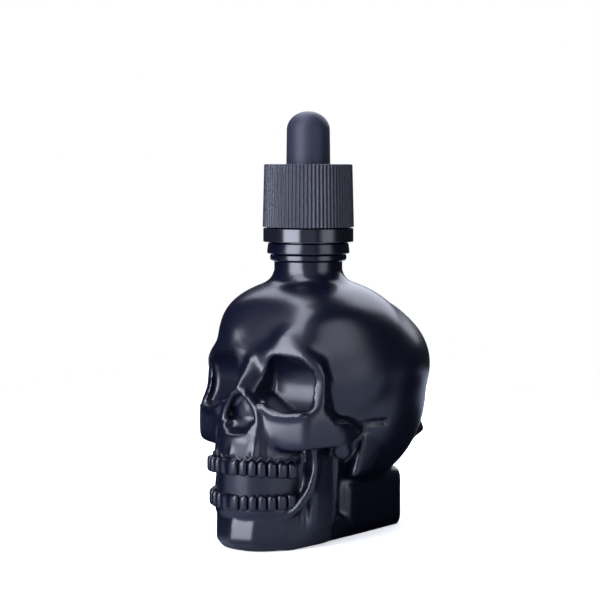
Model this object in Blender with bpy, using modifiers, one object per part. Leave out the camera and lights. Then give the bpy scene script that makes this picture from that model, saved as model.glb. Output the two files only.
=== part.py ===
"""Skull-shaped glass dropper bottle for cocktail bitters, as its separate pieces.

A moulded glass skull with a screw neck, the break-off ring that stays on the neck, a ribbed
screw cap, a rubber bulb seated under the cap and the glass pipette that hangs from the bulb.
Metres, +Z up. The face looks along -Y, and the origin is on the base, on the neck's axis.
"""

import math

import bmesh
import bpy
from mathutils import Matrix, Vector

# Skull
SKULL_WIDTH = 0.051
SKULL_LENGTH = 0.074
SKULL_HEIGHT = 0.069
GLASS_WALL = 0.003
GLASS_BASE = 0.006
ARCH_WIDTH_SHARE = 0.557
ARCH_LENGTH_SHARE = 0.257
ARCH_FRONT_SHARE = 0.4554
TOOTH_DEPTH = 0.0042
UPPER_BITE = 0.0198
UPPER_TOOTH = 0.0042
LOWER_BITE = 0.015
LOWER_TOOTH = 0.0041
LOWER_SETBACK = 0.0006
MOLAR_DROP = 0.0026
TOOTH_EDGE = 0.0007
TOOTH_FILL_SHARE = 0.93
TOOTH_WIDTH_SHARES = (0.109, 0.098, 0.098, 0.1, 0.105, 0.12, 0.12)
ARCH_SQUARENESS = 2.4
ARCH_WIDTH = ARCH_WIDTH_SHARE * SKULL_WIDTH
ARCH_LENGTH = ARCH_LENGTH_SHARE * SKULL_LENGTH
ARCH_FRONT = ARCH_FRONT_SHARE * SKULL_LENGTH

# Glass pipette
PIPETTE_RADIUS = 0.0035
PIPETTE_BORE = 0.0025
PIPETTE_TIP_RADIUS = 0.0013
PIPETTE_TIP_BORE = 0.0006
PIPETTE_TAPER = 0.012
PIPETTE_FLOOR_GAP = 0.009

# Clearances, overrun of cuts, and the distance under which points are one
FIT = 0.0003
BEAD_FIT = 0.0004
PIPETTE_FIT = 0.0015
THREAD_FIT = 0.0013
FLANGE_FIT = 0.0006
OVERRUN = 0.004
WELD = 0.00001

# Neck finish of the bottle, from its bore outwards and from the skull upwards
FINISH_WALL = 0.0028
NECK_STAND = 0.00115
STEP_STAND = 0.0011
COLLAR_STAND = 0.0019
BEAD_STAND = 0.00085
NECK_BARE = 0.0036
STEP_HEIGHT = 0.0018
COLLAR_HEIGHT = 0.0028
BEAD_HEIGHT = 0.0013
RING_EDGE = 0.0003
BORE_RADIUS = PIPETTE_RADIUS + PIPETTE_FIT
FINISH_RADIUS = BORE_RADIUS + FINISH_WALL
NECK_RADIUS = FINISH_RADIUS + NECK_STAND
STEP_RADIUS = NECK_RADIUS + STEP_STAND
COLLAR_RADIUS = NECK_RADIUS + COLLAR_STAND
BEAD_RADIUS = NECK_RADIUS + BEAD_STAND

# Break-off ring
BAND_WALL = 0.00165
BAND_HEIGHT = 0.0036
BAND_LIP = 0.0014
BAND_RADIUS = BEAD_RADIUS + BEAD_FIT + BAND_WALL

# Screw cap
CAP_WALL = 0.0029
CAP_DRAFT = 0.0004
CAP_HEIGHT = 0.0164
CAP_TOP_WALL = 0.0018
RIB_COUNT = 72
RIB_DEPTH = 0.00032
CAP_BORE_RADIUS = FINISH_RADIUS + THREAD_FIT
CAP_RADIUS = CAP_BORE_RADIUS + CAP_WALL

# Rubber bulb
BULB_GRIP_WALL = 0.002
BULB_GRIP = 0.005
BULB_DRAFT = 0.00015
BULB_RISE = 0.0138
BULB_DOME = 0.0049
BULB_WALL = 0.0015
FLANGE_HEIGHT = 0.0016
FLANGE_RADIUS = CAP_BORE_RADIUS - FLANGE_FIT
BULB_RADIUS = PIPETTE_RADIUS + FIT + BULB_GRIP_WALL

# Facets and the voxels that the skull's forms are fused with
ROUND_STEPS = 48
BULB_STEPS = 32
PIPETTE_STEPS = 24
DOME_STEPS = 6
TAPER_STEPS = 5
ARCH_STEPS = 200
SLAB_STEPS = 16
MASS_VOXEL = 0.0012
FORM_VOXEL = 0.00085
CAVITY_VOXEL = 0.0014
SKULL_FACES = 5800
FLAT_REACH = 12
CAVITY_FACES = 1000

# Heights that follow from the sizes
STEP_Z = SKULL_HEIGHT + NECK_BARE
COLLAR_Z = STEP_Z + STEP_HEIGHT
BAND_Z = COLLAR_Z + COLLAR_HEIGHT + FIT
BEAD_Z = BAND_Z + BAND_LIP + FIT
CAP_Z = BAND_Z + BAND_HEIGHT + FIT
CAP_TOP_Z = CAP_Z + CAP_HEIGHT
FLANGE_TOP_Z = CAP_TOP_Z - CAP_TOP_WALL - FIT
FLANGE_Z = FLANGE_TOP_Z - FLANGE_HEIGHT
FINISH_Z = FLANGE_Z - FIT
PIPETTE_TOP_Z = FLANGE_Z + BULB_GRIP
PIPETTE_Z = GLASS_BASE + PIPETTE_FLOOR_GAP

# Half of the skull's forms, which a mirror doubles. Places, the radii of balls, the half sizes of
# blocks and the corners of hulls are shares of the skull's width, length and height. The radius of
# a tube, the edge radius of a block and the blend of a flat are shares of its height. Turns about
# Z and rises above the horizon are in degrees. A ball's last value is how square its plan is.
MASS_BALL_SHARES = {
    "forehead": ((0, 0.005, 0.742), (0.476, 0.332, 0.254), 0, 2.6),
    "crown": ((0, 0.027, 0.659), (0.49, 0.365, 0.323), 0, 2),
    "back_of_head": ((0, 0.147, 0.646), (0.506, 0.369, 0.278), 0, 2),
    "nape": ((0, 0.149, 0.543), (0.482, 0.35, 0.394), 0, 2),
    "upper_back": ((0, 0.062, 0.745), (0.475, 0.311, 0.229), 0, 2),
    "back_slope": ((0, 0.119, 0.699), (0.482, 0.349, 0.246), 0, 2),
    "face": ((0, -0.115, 0.58), (0.353, 0.196, 0.217), 0, 2),
    "skull_base": ((0, -0.041, 0.362), (0.324, 0.176, 0.145), 0, 2),
}
MASS_FLAT_SHARES = {
    "forehead": ((0, -0.309, 0.768), 0, 20, 0.012),
    "temple": ((0.418, -0.141, 0.609), 63, 1, 0.026),
}
SOFT_BALL_SHARES = {
    "nose_root": ((0, -0.291, 0.522), (0.11, 0.084, 0.109), 0, 2),
}
SOFT_BLOCK_SHARES = {
    "orbit_wall": ((0.286, -0.211, 0.601), (0.057, 0.043, 0.123), 0.017),
}
SOFT_TUBE_SHARES = {
    "neck_root": (
        (0, 0, 0.87, 0.174), (0, 0, 0.935, 0.165), (0, 0, 0.978, 0.148), (0, 0, 1.014, 0.132),
        (0, 0, 1.043, 0.128),
    ),
    "brow": (
        (0.029, -0.297, 0.704, 0.029), (0.108, -0.303, 0.725, 0.033), (0.196, -0.3, 0.736, 0.036),
        (0.284, -0.274, 0.716, 0.033), (0.337, -0.251, 0.678, 0.029),
    ),
    "orbit_side": (
        (0.337, -0.249, 0.687, 0.026), (0.363, -0.246, 0.645, 0.026), (0.369, -0.249, 0.587, 0.026),
        (0.353, -0.265, 0.53, 0.029),
    ),
}
SOFT_HULL_SHARES = {
    "upper_jaw": (
        (0.082, -0.346, 0.58), (0.108, -0.362, 0.536), (0.129, -0.369, 0.478), (0.143, -0.373, 0.413),
        (0.149, -0.364, 0.52), (0.333, -0.332, 0.519), (0.333, -0.332, 0.374), (0.218, -0.349, 0.371),
        (0.078, -0.257, 0.58), (0.314, -0.257, 0.522), (0.314, -0.257, 0.388), (0.118, -0.257, 0.377),
    ),
    "cheekbone": (
        (0.333, -0.332, 0.519), (0.392, -0.273, 0.542), (0.42, -0.227, 0.501), (0.435, -0.182, 0.475),
        (0.431, -0.122, 0.458), (0.412, -0.054, 0.449), (0.333, -0.332, 0.374), (0.39, -0.257, 0.377),
        (0.435, -0.182, 0.38), (0.431, -0.122, 0.391), (0.42, -0.054, 0.406), (0.265, -0.284, 0.514),
        (0.265, -0.284, 0.391), (0.373, -0.162, 0.464), (0.373, -0.162, 0.391), (0.363, -0.054, 0.442),
        (0.363, -0.054, 0.413),
    ),
    "orbit_filling": (
        (0.078, -0.316, 0.701), (0.176, -0.319, 0.719), (0.265, -0.284, 0.704), (0.333, -0.251, 0.652),
        (0.376, -0.255, 0.594), (0.384, -0.265, 0.545), (0.314, -0.295, 0.507), (0.157, -0.332, 0.513),
        (0.082, -0.335, 0.574), (0.078, -0.162, 0.696), (0.333, -0.162, 0.667), (0.353, -0.189, 0.536),
        (0.118, -0.162, 0.522),
    ),
}
FIRM_BALL_SHARES = {
    "glabella": ((0, -0.318, 0.69), (0.033, 0.02, 0.032), 0, 2),
    "jaw_joint": ((0.384, -0.151, 0.371), (0.047, 0.046, 0.042), 0, 2),
}
FIRM_BLOCK_SHARES = {
    "throat": ((0, -0.115, 0.168), (0.225, 0.182, 0.187), 0.029),
    "pedestal": ((0, 0.188, 0.109), (0.237, 0.188, 0.126), 0.049),
}
FIRM_TUBE_SHARES = {
    "nose_rim": (
        (0.035, -0.391, 0.583, 0.014), (0.076, -0.378, 0.545, 0.016), (0.106, -0.378, 0.493, 0.017),
        (0.11, -0.385, 0.455, 0.017), (0.078, -0.403, 0.423, 0.017), (0, -0.409, 0.414, 0.017),
    ),
    "canine_root": (
        (0.141, -0.364, 0.449, 0.013), (0.149, -0.366, 0.399, 0.014), (0.155, -0.372, 0.355, 0.013),
    ),
    "nose_spine": (
        (0, -0.4, 0.429, 0.022), (0, -0.414, 0.399, 0.022), (0, -0.424, 0.362, 0.02),
    ),
    "jaw_front_edge": (
        (0.29, -0.235, 0.377, 0.022), (0.294, -0.238, 0.29, 0.022), (0.282, -0.254, 0.225, 0.023),
        (0.261, -0.284, 0.174, 0.022), (0.224, -0.338, 0.139, 0.017),
    ),
}
FIRM_HULL_SHARES = {
    "nape_ledge": (
        (-0.02, 0.453, 0.464), (0.196, 0.426, 0.461), (0.314, 0.372, 0.458), (-0.02, 0.505, 0.391),
        (0.157, 0.492, 0.383), (0.294, 0.438, 0.374), (0.349, 0.386, 0.375), (-0.02, 0.405, 0.342),
        (0.275, 0.338, 0.336), (0.341, 0.297, 0.339),
    ),
    "ear_tip": (
        (0.396, -0.032, 0.406), (0.424, 0.081, 0.406), (0.4, 0.086, 0.357), (0.38, 0.043, 0.275),
        (0.361, -0.054, 0.255), (0.333, -0.061, 0.246), (0.333, 0.02, 0.242), (0.294, -0.027, 0.406),
        (0.294, 0.081, 0.406), (0.294, -0.047, 0.261), (0.294, 0.027, 0.261),
    ),
    "nasal_bones": (
        (-0.006, -0.33, 0.703), (0, -0.33, 0.703), (-0.006, -0.368, 0.652), (0, -0.368, 0.652),
        (-0.006, -0.407, 0.607), (0.002, -0.407, 0.607), (0.047, -0.392, 0.577), (0.09, -0.373, 0.536),
        (-0.006, -0.395, 0.594), (0.071, -0.319, 0.696), (0.076, -0.332, 0.609), (0.09, -0.346, 0.572),
        (-0.006, -0.243, 0.71), (0.078, -0.243, 0.696), (0.086, -0.243, 0.536),
        (-0.006, -0.243, 0.536),
    ),
    "jaw_branch": (
        (0.31, -0.243, 0.399), (0.318, -0.116, 0.391), (0.312, -0.107, 0.188), (0.294, -0.103, 0.087),
        (0.235, -0.108, 0.017), (0.176, -0.108, 0.007), (0.176, -0.243, 0.007), (0.245, -0.243, 0.017),
        (0.298, -0.243, 0.087), (0.31, -0.238, 0.188), (0.235, -0.243, 0.399), (0.235, -0.122, 0.391),
    ),
    "chin": (
        (-0.01, -0.446, 0.114), (-0.01, -0.454, 0.043), (0.129, -0.405, 0.114), (0.129, -0.411, 0.043),
        (0.212, -0.335, 0.125), (0.212, -0.332, 0.052), (-0.01, -0.438, 0.151), (0.157, -0.386, 0.148),
        (-0.01, -0.438, 0.017), (0.157, -0.373, 0.017), (0, -0.297, 0.145), (0.247, -0.27, 0.13),
        (0, -0.297, 0.014), (0.227, -0.27, 0.029),
    ),
}
ARCH_SLAB_SHARES = {
    "mouth_wall": (0.249, 0.436, 0.351, 0.029, 0.435, 0.017),
    "jaw": (0.273, 0.418, 0.338, 0, 0.151, 0.064),
    "lower_gum": (0.263, 0.438, 0.297, 0.087, 0.174, 0.013),
    "jaw_foot": (0.192, 0.373, 0.419, -0.043, 0.116, 0.029),
    "upper_gum": (0.243, 0.428, 0.23, 0.325, 0.368, 0.014),
    "upper_jaw": (0.231, 0.414, 0.23, 0.304, 0.478, 0.023),
}
HOLLOW_BALL_SHARES = {
    "under_cheek": ((0.31, -0.292, 0.328), (0.051, 0.046, 0.064), 0, 2),
}
HOLLOW_TUBE_SHARES = {
    "jaw_gap": (
        (0.282, -0.276, 0.386, 0.025), (0.275, -0.269, 0.333, 0.028), (0.269, -0.269, 0.261, 0.022),
        (0.263, -0.286, 0.217, 0.014),
    ),
    "under_base": (
        (0.361, 0.068, 0.181, 0.065), (0.349, 0.203, 0.181, 0.065), (0.345, 0.351, 0.181, 0.065),
    ),
}
HOLLOW_HULL_SHARES = {
    "behind_cheek_bar": (
        (0.471, -0.297, 0.717), (0.471, -0.208, 0.717), (0.371, -0.235, 0.717), (0.371, -0.219, 0.717),
        (0.471, -0.304, 0.558), (0.471, -0.17, 0.558), (0.357, -0.23, 0.558), (0.349, -0.17, 0.558),
    ),
    "under_temple": (
        (0.471, -0.304, 0.572), (0.361, -0.232, 0.572), (0.357, -0.186, 0.572), (0.471, -0.186, 0.572),
        (0.471, -0.291, 0.522), (0.365, -0.222, 0.522), (0.365, -0.151, 0.522), (0.471, -0.151, 0.522),
        (0.471, -0.243, 0.472), (0.384, -0.203, 0.478), (0.388, -0.122, 0.481), (0.471, -0.122, 0.467),
    ),
    "behind_jaw": (
        (0.451, -0.114, 0.397), (0.451, -0.043, 0.397), (0.392, -0.111, 0.203), (0.392, -0.07, 0.203),
        (0.302, -0.111, 0.391), (0.302, -0.049, 0.391), (0.284, -0.108, 0.203), (0.284, -0.066, 0.203),
    ),
    "nose_side": (
        (0.012, -0.432, 0.594), (0.045, -0.432, 0.574), (0.084, -0.432, 0.529), (0.1, -0.432, 0.486),
        (0.098, -0.432, 0.449), (0.071, -0.432, 0.432), (0.012, -0.432, 0.429), (0.012, -0.354, 0.562),
        (0.025, -0.354, 0.545), (0.047, -0.354, 0.516), (0.057, -0.354, 0.486), (0.055, -0.354, 0.467),
        (0.039, -0.354, 0.458), (0.012, -0.354, 0.455),
    ),
    "nose_front": (
        (-0.02, -0.432, 0.591), (0.02, -0.432, 0.591), (-0.02, -0.359, 0.568), (0.02, -0.359, 0.568),
        (-0.02, -0.359, 0.449), (0.02, -0.359, 0.449), (-0.02, -0.432, 0.435), (0.02, -0.432, 0.435),
    ),
}
ORBIT_DRUM_SHARES = ((0.225, -0.351, 0.629), (0.176, 0.101, 0.109))
ORBIT_OPENING_SHARES = (
    (0.067, 0.578), (0.071, 0.606), (0.08, 0.652), (0.1, 0.693), (0.141, 0.73), (0.222, 0.742),
    (0.275, 0.716), (0.325, 0.667), (0.357, 0.623), (0.38, 0.583), (0.396, 0.549), (0.343, 0.523),
    (0.235, 0.516), (0.173, 0.535), (0.116, 0.557),
)
ORBIT_DEPTH_SHARES = (-0.459, -0.203)
CAVITY_BALL_SHARES = {
    "under_crown": ((0, 0.061, 0.667), (0.48, 0.304, 0.312)),
    "under_back": ((0, 0.149, 0.638), (0.5, 0.365, 0.268)),
    "under_nape": ((0, 0.162, 0.551), (0.461, 0.324, 0.348)),
    "under_forehead": ((0, 0.027, 0.797), (0.431, 0.297, 0.181)),
    "in_mouth": ((0, -0.176, 0.348), (0.196, 0.162, 0.217)),
}
CAVITY_FOOT_SHARES = ((0, 0.115), (0.227, 0.23), 0.348)


def clear_scene():
    for obj in list(bpy.data.objects):
        bpy.data.objects.remove(obj, do_unlink=True)


def collection(name, hidden):
    made = bpy.data.collections.new(name)
    made.hide_render = hidden
    bpy.context.scene.collection.children.link(made)
    return made


def material(name, colour, roughness):
    made = bpy.data.materials.new(name)
    made.use_nodes = True
    shader = made.node_tree.nodes["Principled BSDF"]
    shader.inputs["Base Color"].default_value = (*colour, 1)
    shader.inputs["Roughness"].default_value = roughness
    shader.inputs["Metallic"].default_value = 0
    made.diffuse_color = (*colour, 1)
    return made


def link(obj, group):
    """Puts an object into one collection and out of any other."""
    for old in list(obj.users_collection):
        old.objects.unlink(obj)
    group.objects.link(obj)
    return obj


def place(shares):
    """A length along each axis from shares of the skull's width, length and height."""
    x, y, z = shares
    return Vector((x * SKULL_WIDTH, y * SKULL_LENGTH, z * SKULL_HEIGHT))


def baked_mesh(obj):
    """The object's evaluated mesh, with its place and turn applied."""
    bpy.context.view_layer.update()
    evaluated = obj.evaluated_get(bpy.context.evaluated_depsgraph_get())
    mesh = bpy.data.meshes.new_from_object(evaluated)
    mesh.transform(obj.matrix_world)
    return mesh


def gathered(name, pieces):
    """One helper object with the baked meshes of several, which are removed."""
    form = bmesh.new()
    for piece in pieces:
        mesh = baked_mesh(piece)
        form.from_mesh(mesh)
        bpy.data.meshes.remove(mesh)
        bpy.data.objects.remove(piece, do_unlink=True)
    bmesh.ops.remove_doubles(form, verts=form.verts, dist=WELD)
    mesh = bpy.data.meshes.new(name)
    form.to_mesh(mesh)
    form.free()
    return link(bpy.data.objects.new(name, mesh), CUTTERS)


def balls(table):
    """Ellipsoids whose plan goes from round at squareness 2 towards square."""
    made = []
    for centre, radii, turn, squareness in table.values():
        bpy.ops.mesh.primitive_uv_sphere_add(segments=40, ring_count=24, radius=1)
        ball = link(bpy.context.object, CUTTERS)
        for vert in ball.data.vertices:
            reach = vert.co.xy.length
            if reach > WELD:
                plan = [math.copysign(abs(way / reach) ** (2 / squareness), way) for way in vert.co.xy]
                vert.co.xy = [reach * way for way in plan]
        ball.scale = place(radii)
        ball.rotation_euler.z = math.radians(turn)
        ball.location = place(centre)
        made.append(ball)
    return made


def blocks(table):
    made = []
    for centre, halves, edge_share in table.values():
        bpy.ops.mesh.primitive_cube_add(size=2)
        block = link(bpy.context.object, CUTTERS)
        block.data.transform(Matrix.Diagonal((*place(halves), 1)))
        rounding = block.modifiers.new("Rounding", "BEVEL")
        rounding.width = edge_share * SKULL_HEIGHT
        rounding.segments = 4
        block.location = place(centre)
        made.append(block)
    return made


def hull(corners):
    """A flat-sided form stretched over its corners."""
    form = bmesh.new()
    for corner in corners:
        form.verts.new(place(corner))
    bmesh.ops.convex_hull(form, input=form.verts)
    bmesh.ops.recalc_face_normals(form, faces=form.faces)
    mesh = bpy.data.meshes.new("hull")
    form.to_mesh(mesh)
    form.free()
    return link(bpy.data.objects.new("hull", mesh), CUTTERS)


def hulls(table):
    return [hull(corners) for corners in table.values()]


def tubes(table):
    """A swelling tube through each row's points, with a ball at both ends."""
    made = []
    for name, rows in table.items():
        curve = bpy.data.curves.new(name, "CURVE")
        curve.dimensions = "3D"
        curve.bevel_depth = 1
        curve.bevel_resolution = 3
        curve.resolution_u = 6
        curve.use_fill_caps = True
        line = curve.splines.new("BEZIER")
        line.bezier_points.add(len(rows) - 1)
        for point, (x, y, z, radius_share) in zip(line.bezier_points, rows):
            point.co = place((x, y, z))
            point.radius = radius_share * SKULL_HEIGHT
            point.handle_left_type = "AUTO"
            point.handle_right_type = "AUTO"
        made.append(link(bpy.data.objects.new(name, curve), CUTTERS))
        for x, y, z, radius_share in (rows[0], rows[-1]):
            bpy.ops.mesh.primitive_uv_sphere_add(segments=20, ring_count=12, radius=1)
            end = link(bpy.context.object, CUTTERS)
            end.scale *= radius_share * SKULL_HEIGHT
            end.location = place((x, y, z))
            made.append(end)
    return made


def arch_slabs(table):
    """Slabs that follow the dental arch: superellipse in front, square behind."""
    made = []
    for half, front, length, low, high, edge_share in table.values():
        half, front, length = half * SKULL_WIDTH, front * SKULL_LENGTH, length * SKULL_LENGTH
        form = bmesh.new()
        rim = []
        for i in range(-SLAB_STEPS, SLAB_STEPS + 1):
            turn = math.pi / 2 * i / SLAB_STEPS
            x = math.copysign(half * abs(math.sin(turn)) ** (2 / ARCH_SQUARENESS), turn)
            y = length - front - length * math.cos(turn) ** (2 / ARCH_SQUARENESS)
            rim.append(form.verts.new((x, y, low * SKULL_HEIGHT)))
        form.faces.new(rim)
        bmesh.ops.recalc_face_normals(form, faces=form.faces)
        grown = bmesh.ops.extrude_face_region(form, geom=form.faces[:])["geom"]
        for vert in (item for item in grown if isinstance(item, bmesh.types.BMVert)):
            vert.co.z = high * SKULL_HEIGHT
        bmesh.ops.recalc_face_normals(form, faces=form.faces)
        mesh = bpy.data.meshes.new("slab")
        form.to_mesh(mesh)
        form.free()
        slab = link(bpy.data.objects.new("slab", mesh), CUTTERS)
        rounding = slab.modifiers.new("Rounding", "BEVEL")
        rounding.width = edge_share * SKULL_HEIGHT
        rounding.segments = 3
        made.append(slab)
    return made


def fused(name, pieces, voxel, rounds):
    """Overlapping half forms mirrored, fused into one skin and worn smooth."""
    form = gathered(name, pieces)
    mirror = form.modifiers.new("Mirror", "MIRROR")
    mirror.use_bisect_axis[0] = True
    mirror.merge_threshold = WELD
    skin = form.modifiers.new("Skin", "REMESH")
    skin.mode = "VOXEL"
    skin.voxel_size = voxel
    wear = form.modifiers.new("Wear", "SMOOTH")
    wear.factor = 0.5
    wear.iterations = rounds
    return gathered(name, [form])


def thinned(form, faces):
    """The form with fewer facets, kept where it curves most."""
    thin = form.modifiers.new("Thin", "DECIMATE")
    thin.ratio = min(1, faces / (2 * len(form.data.polygons)))
    thin.use_symmetry = False
    return gathered(form.name, [form])


def boolean(obj, other, operation):
    step = obj.modifiers.new(other.name, "BOOLEAN")
    step.operation = operation
    step.solver = "EXACT"
    step.object = other
    other.display_type = "WIRE"
    other.hide_render = True
    return obj


def arch_place(angle, setback):
    """A point on the outside of the teeth, on a superellipse seen from above."""
    power = 2 / ARCH_SQUARENESS
    x = (ARCH_WIDTH / 2 - setback) * math.sin(angle) ** power
    y = (ARCH_LENGTH - setback) * math.cos(angle) ** power
    return Vector((x, ARCH_LENGTH - ARCH_FRONT - y, 0))


def tooth_row(bite_z, crown, setback, drop):
    """Rounded blocks side by side along half of the dental arch; drop lowers the molars."""
    spots = [arch_place(math.pi / 2 * i / ARCH_STEPS, setback) for i in range(ARCH_STEPS + 1)]
    reach = [0.0]
    for before, after in zip(spots, spots[1:]):
        reach.append(reach[-1] + (after - before).length)
    made = []
    start = 0.0
    for share in TOOTH_WIDTH_SHARES:
        width = share * reach[-1]
        middle = start + width / 2
        start += width
        i = next(k for k in range(1, len(reach)) if reach[k] >= middle)
        along = (spots[i] - spots[i - 1]).normalized()
        inward = Vector((-along.y, along.x, 0))
        spot = spots[i] + inward * TOOTH_DEPTH / 2
        spot.z = bite_z + crown / 2 - drop * (middle / reach[-1]) ** 2
        bpy.ops.mesh.primitive_cube_add(size=1)
        tooth = link(bpy.context.object, CUTTERS)
        tooth.data.transform(Matrix.Diagonal((width * TOOTH_FILL_SHARE, TOOTH_DEPTH, abs(crown), 1)))
        rounding = tooth.modifiers.new("Rounding", "BEVEL")
        rounding.width = TOOTH_EDGE
        rounding.segments = 1
        tooth.rotation_euler.z = math.atan2(along.y, along.x)
        tooth.location = spot
        made.append(tooth)
        other = link(tooth.copy(), CUTTERS)
        other.rotation_euler.z *= -1
        other.location.x *= -1
        made.append(other)
    return made


def turned(name, profile, steps, group):
    """A turned solid: the profile runs down its outer side, and either closes or ends on the axis."""
    mesh = bpy.data.meshes.new(name)
    points = [(radius, 0, z) for radius, z in profile]
    closes = profile[0] == profile[-1]
    if closes:
        points.pop()
    edges = [(i, i + 1) for i in range(len(points) - 1)]
    if closes:
        edges.append((len(points) - 1, 0))
    mesh.from_pydata(points, edges, [])
    obj = link(bpy.data.objects.new(name, mesh), group)
    screw = obj.modifiers.new("Turn", "SCREW")
    screw.steps = steps
    screw.render_steps = steps
    screw.use_merge_vertices = True
    screw.merge_threshold = WELD
    return obj


def flattened(form, table):
    """Wears a flat into both sides of the form wherever it stands beyond one."""
    for centre, turn, rise, blend_share in table.values():
        blend = blend_share * SKULL_HEIGHT
        for side in (1, -1):
            across = math.radians(side * turn)
            way = Vector((math.sin(across), -math.cos(across), math.tan(math.radians(rise)))).normalized()
            spot = place(centre)
            spot.x *= side
            for vert in form.data.vertices:
                beyond = (vert.co - spot).dot(way) / blend
                if beyond > -FLAT_REACH:
                    vert.co -= way * math.log1p(math.exp(beyond)) * blend
    return form


def orbit():
    """One eye socket: a drum lying across the face, trimmed to the outline of its opening."""
    centre, halves = ORBIT_DRUM_SHARES
    bpy.ops.mesh.primitive_cylinder_add(vertices=96, radius=1, depth=2)
    drum = link(bpy.context.object, CUTTERS)
    drum.name = "drum"
    drum.data.transform(Matrix.Rotation(math.pi / 2, 4, "Y"))
    drum.data.transform(Matrix.Diagonal((*place(halves), 1)))
    drum.location = place(centre)
    opening = hull([(x, y, z) for x, z in ORBIT_OPENING_SHARES for y in ORBIT_DEPTH_SHARES])
    return gathered("orbit", [boolean(opening, drum, "INTERSECT")])


def glass_skull():
    """The hollow skull with its neck finish."""
    mass = flattened(fused("mass", balls(MASS_BALL_SHARES), MASS_VOXEL, 10), MASS_FLAT_SHARES)
    soft = [mass] + balls(SOFT_BALL_SHARES) + blocks(SOFT_BLOCK_SHARES)
    soft += tubes(SOFT_TUBE_SHARES) + hulls(SOFT_HULL_SHARES)
    firm = [fused("soft_forms", soft, FORM_VOXEL, 7)] + balls(FIRM_BALL_SHARES) + blocks(FIRM_BLOCK_SHARES)
    firm += tubes(FIRM_TUBE_SHARES) + hulls(FIRM_HULL_SHARES) + arch_slabs(ARCH_SLAB_SHARES)
    forms = fused("forms", firm, FORM_VOXEL, 1)
    hollows = [orbit()] + balls(HOLLOW_BALL_SHARES) + tubes(HOLLOW_TUBE_SHARES) + hulls(HOLLOW_HULL_SHARES)
    hollows = fused("hollows", hollows, FORM_VOXEL, 1)
    boolean(forms, hollows, "DIFFERENCE")
    carved = fused("carved", [forms], FORM_VOXEL, 1)
    bpy.data.objects.remove(hollows, do_unlink=True)
    bottle = link(thinned(carved, SKULL_FACES), PARTS)
    bottle.name = "skull_bottle"

    teeth = tooth_row(UPPER_BITE, UPPER_TOOTH, 0, MOLAR_DROP)
    teeth += tooth_row(LOWER_BITE, -LOWER_TOOTH, LOWER_SETBACK, 0)
    teeth = gathered("teeth", teeth)
    boolean(bottle, teeth, "UNION")
    bottle.modifiers["teeth"].use_self = True
    boolean(bottle, turned("neck", neck_profile(), ROUND_STEPS, CUTTERS), "UNION")
    bpy.ops.mesh.primitive_cube_add(size=1)
    ground = link(bpy.context.object, CUTTERS)
    ground.name = "ground"
    ground.scale = (2 * SKULL_WIDTH, 2 * SKULL_LENGTH, SKULL_HEIGHT)
    ground.location.z = -SKULL_HEIGHT / 2
    boolean(bottle, ground, "DIFFERENCE")
    boolean(bottle, cavity(), "DIFFERENCE")
    bore = [
        (0, FINISH_Z + OVERRUN),
        (BORE_RADIUS, FINISH_Z + OVERRUN),
        (BORE_RADIUS, SKULL_HEIGHT - 2 * GLASS_WALL - OVERRUN),
        (0, SKULL_HEIGHT - 2 * GLASS_WALL - OVERRUN),
    ]
    boolean(bottle, turned("bore", bore, ROUND_STEPS, CUTTERS), "DIFFERENCE")
    return bottle


def neck_profile():
    """From the sealing land down over the bead, the collar and the step to a root in the skull."""
    return [
        (0, FINISH_Z),
        (FINISH_RADIUS - RING_EDGE, FINISH_Z),
        (FINISH_RADIUS, FINISH_Z - RING_EDGE),
        (FINISH_RADIUS, BEAD_Z + 2 * BEAD_HEIGHT),
        (BEAD_RADIUS, BEAD_Z + BEAD_HEIGHT),
        (BEAD_RADIUS, BEAD_Z),
        (NECK_RADIUS, BEAD_Z),
        (NECK_RADIUS, COLLAR_Z + COLLAR_HEIGHT),
        (COLLAR_RADIUS - 2 * RING_EDGE, COLLAR_Z + COLLAR_HEIGHT),
        (COLLAR_RADIUS - RING_EDGE, COLLAR_Z + COLLAR_HEIGHT - RING_EDGE),
        (COLLAR_RADIUS, COLLAR_Z + RING_EDGE),
        (COLLAR_RADIUS - RING_EDGE, COLLAR_Z),
        (STEP_RADIUS - RING_EDGE, COLLAR_Z),
        (STEP_RADIUS, STEP_Z + STEP_HEIGHT / 2),
        (STEP_RADIUS - RING_EDGE, STEP_Z + RING_EDGE),
        (NECK_RADIUS, STEP_Z - RING_EDGE),
        (NECK_RADIUS, SKULL_HEIGHT - 2 * GLASS_WALL),
        (0, SKULL_HEIGHT - 2 * GLASS_WALL),
    ]


def cavity():
    """The room for the liquid: rounded forms one wall inside the skull's, and a foot over the base."""
    rooms = []
    for centre, reach in CAVITY_BALL_SHARES.values():
        bpy.ops.mesh.primitive_uv_sphere_add(segments=40, ring_count=24, radius=1)
        room = link(bpy.context.object, CUTTERS)
        room.scale = [length - GLASS_WALL for length in place(reach)]
        room.location = place(centre)
        rooms.append(room)
    (x, y), (half_x, half_y), top = CAVITY_FOOT_SHARES
    bpy.ops.mesh.primitive_cube_add(size=2)
    foot = link(bpy.context.object, CUTTERS)
    half_z = (top * SKULL_HEIGHT - GLASS_BASE) / 2
    halves = place((half_x, half_y, 0)) - Vector((GLASS_WALL, GLASS_WALL, -half_z))
    foot.data.transform(Matrix.Diagonal((*halves, 1)))
    rounding = foot.modifiers.new("Rounding", "BEVEL")
    rounding.width = GLASS_WALL
    rounding.segments = 3
    foot.location = place((x, y, 0)) + Vector((0, 0, GLASS_BASE + half_z))
    rooms.append(foot)
    return thinned(fused("cavity", rooms, CAVITY_VOXEL, 3), CAVITY_FACES)


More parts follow.
